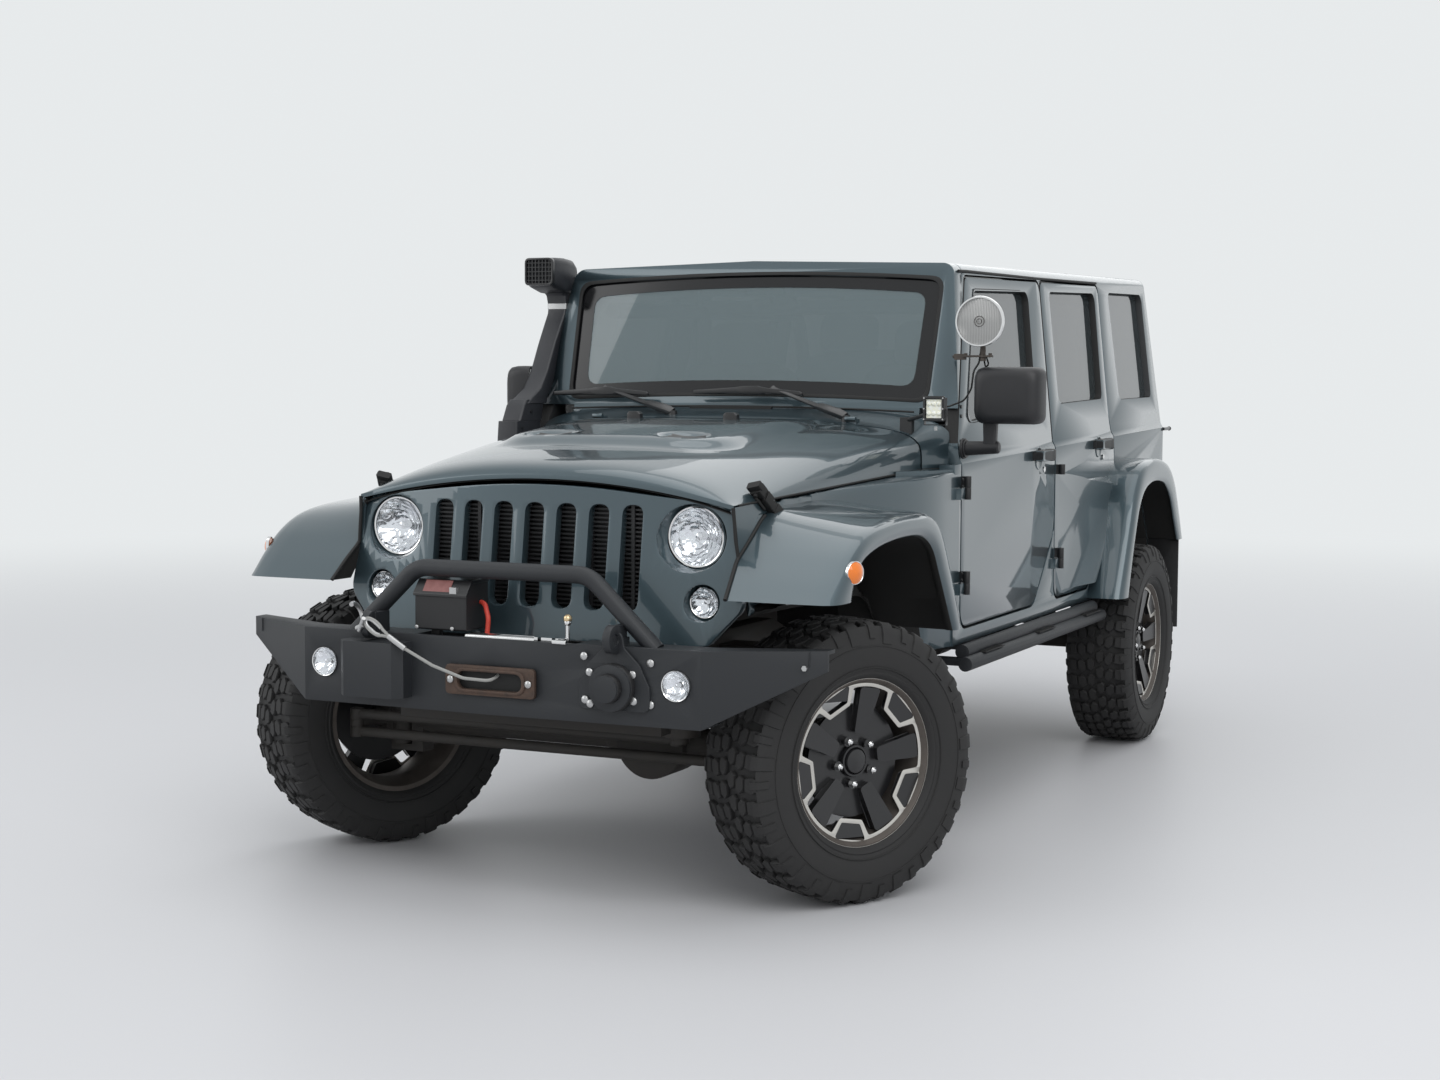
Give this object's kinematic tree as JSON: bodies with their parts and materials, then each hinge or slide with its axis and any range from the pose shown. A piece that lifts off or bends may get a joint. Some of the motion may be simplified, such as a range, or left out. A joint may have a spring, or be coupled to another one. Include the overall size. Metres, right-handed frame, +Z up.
{
  "type": "four-door off-road vehicle",
  "caption": "Lifted four-door off-roader with hard top, winch bumper, snorkel and rear spare wheel.",
  "frame": {"origin": "on the ground under the middle of the whole vehicle", "axes": "+X to the vehicle's left, +Y to the rear, +Z up"},
  "size_m": [2.1622, 4.705, 1.8925],
  "materials": {
    "paint": "metallic blue-grey gloss",
    "tyre": "moulded rubber",
    "rim_black": "satin black with machined edges",
    "cast_black": "dusty black",
    "cast_grey": "bare casting",
    "frame_black": "satin black",
    "spring_steel": "painted black",
    "exhaust_steel": "dull steel",
    "bumper_black": "textured charcoal powder coat",
    "plastic_black": "grained black",
    "rubber_black": "flat sheet",
    "tinted_glass": "dark tint",
    "clear_glass": "light green tint",
    "lamp_lens": "clear ribbed",
    "amber_lens": "clear amber",
    "red_lens": "clear red",
    "chrome_trim": "bright",
    "rope": "grey braided rope",
    "cloth": "dark woven cloth"
  },
  "bodies": {
    "chassis": {"axles": "cast_black", "chassis_frame": "frame_black", "suspension": "spring_steel", "engine_block": "cast_grey", "drivetrain": "cast_grey", "fuel_tank": "plastic_black", "exhaust": "exhaust_steel", "body_tub": "paint", "windscreen_frame": "paint", "windscreen_glass": "clear_glass", "hard_top": "paint", "hard_top_glass": "tinted_glass", "fenders": "paint", "side_markers": "amber_lens", "grille": "paint", "radiator": "plastic_black", "tail_lamps": "red_lens", "front_bumper": "bumper_black", "clear_lamps": "lamp_lens", "winch": "bumper_black", "winch_rope": "rope", "rear_bumper": "plastic_black", "side_steps": "bumper_black", "mud_flaps": "rubber_black", "snorkel": "plastic_black", "seats": "cloth", "dashboard": "plastic_black", "roll_bar": "frame_black", "auxiliary_lamps": "chrome_trim", "wipers": "plastic_black"},
    "knuckle_left": {"knuckle_left": "cast_black"},
    "knuckle_right": {"knuckle_right": "cast_black"},
    "wheel_front_left": {"tyre_front_left": "tyre", "rim_front_left": "rim_black"},
    "wheel_front_right": {"tyre_front_right": "tyre", "rim_front_right": "rim_black"},
    "wheel_rear_left": {"tyre_rear_left": "tyre", "rim_rear_left": "rim_black"},
    "wheel_rear_right": {"tyre_rear_right": "tyre", "rim_rear_right": "rim_black"},
    "tie_rod": {"tie_rod": "cast_black"},
    "pitman_arm": {"pitman_arm": "cast_black"},
    "door_front_left": {"door_front_left": "paint", "door_glass_front_left": "tinted_glass", "mirror_left": "plastic_black"},
    "door_front_right": {"door_front_right": "paint", "door_glass_front_right": "tinted_glass", "mirror_right": "plastic_black"},
    "door_rear_left": {"door_rear_left": "paint", "door_glass_rear_left": "tinted_glass"},
    "door_rear_right": {"door_rear_right": "paint", "door_glass_rear_right": "tinted_glass"},
    "bonnet": {"bonnet": "paint"},
    "tailgate": {"tailgate": "paint", "tyre_spare": "tyre", "rim_spare": "rim_black"}
  },
  "joints": [
    {"name": "steer_left", "type": "hinge", "parent": "chassis", "child": "knuckle_left", "pos_m": [0.686, -1.65, 0.395], "axis": [0, 0, 1], "range_deg": [-4, 61.8]},
    {"name": "steer_right", "type": "hinge", "parent": "chassis", "child": "knuckle_right", "pos_m": [-0.686, -1.65, 0.395], "axis": [0, 0, 1], "range_deg": [-4, 61.8]},
    {"name": "tie_rod_eye", "type": "hinge", "parent": "knuckle_left", "child": "tie_rod", "pos_m": [0.60868, -1.79007, 0.368], "axis": [0, 0, 1], "range_deg": [-61.8, 4]},
    {"name": "pitman_shaft", "type": "hinge", "parent": "chassis", "child": "pitman_arm", "pos_m": [0.40732, -1.93015, 0.45], "axis": [0, 0, 1], "range_deg": [-61.8, 4]},
    {"name": "wheel_front_left_axle", "type": "hinge", "parent": "knuckle_left", "child": "wheel_front_left", "pos_m": [0.79456, -1.70993, 0.395], "axis": [0.8755, -0.4833, 0], "continuous": true},
    {"name": "wheel_front_right_axle", "type": "hinge", "parent": "knuckle_right", "child": "wheel_front_right", "pos_m": [-0.79456, -1.59007, 0.395], "axis": [0.8755, -0.4833, 0], "continuous": true},
    {"name": "wheel_rear_left_axle", "type": "hinge", "parent": "chassis", "child": "wheel_rear_left", "pos_m": [0.81, 1.296, 0.395], "axis": [1, 0, 0], "continuous": true},
    {"name": "wheel_rear_right_axle", "type": "hinge", "parent": "chassis", "child": "wheel_rear_right", "pos_m": [-0.81, 1.296, 0.395], "axis": [1, 0, 0], "continuous": true},
    {"name": "door_front_left_hinge", "type": "hinge", "parent": "chassis", "child": "door_front_left", "pos_m": [0.823, -0.706, 0.95], "axis": [0, 0, -1], "range_deg": [0, 60]},
    {"name": "door_front_right_hinge", "type": "hinge", "parent": "chassis", "child": "door_front_right", "pos_m": [-0.823, -0.706, 0.95], "axis": [0, 0, 1], "range_deg": [0, 60]},
    {"name": "door_rear_left_hinge", "type": "hinge", "parent": "chassis", "child": "door_rear_left", "pos_m": [0.823, 0.362, 0.95], "axis": [0, 0, -1], "range_deg": [0, 60]},
    {"name": "door_rear_right_hinge", "type": "hinge", "parent": "chassis", "child": "door_rear_right", "pos_m": [-0.823, 0.362, 0.95], "axis": [0, 0, 1], "range_deg": [0, 60]},
    {"name": "bonnet_hinge", "type": "hinge", "parent": "chassis", "child": "bonnet", "pos_m": [0, -0.804, 1.32], "axis": [-1, 0, 0], "range_deg": [0, 55]},
    {"name": "tailgate_hinge", "type": "hinge", "parent": "chassis", "child": "tailgate", "pos_m": [-0.64, 2, 0.95], "axis": [0, 0, 1], "range_deg": [0, 95]}
  ],
  "couplings": [
    {"joint": "steer_right", "follows": "steer_left", "ratio": 1},
    {"joint": "tie_rod_eye", "follows": "steer_left", "ratio": -1},
    {"joint": "pitman_shaft", "follows": "steer_left", "ratio": -1}
  ]
}
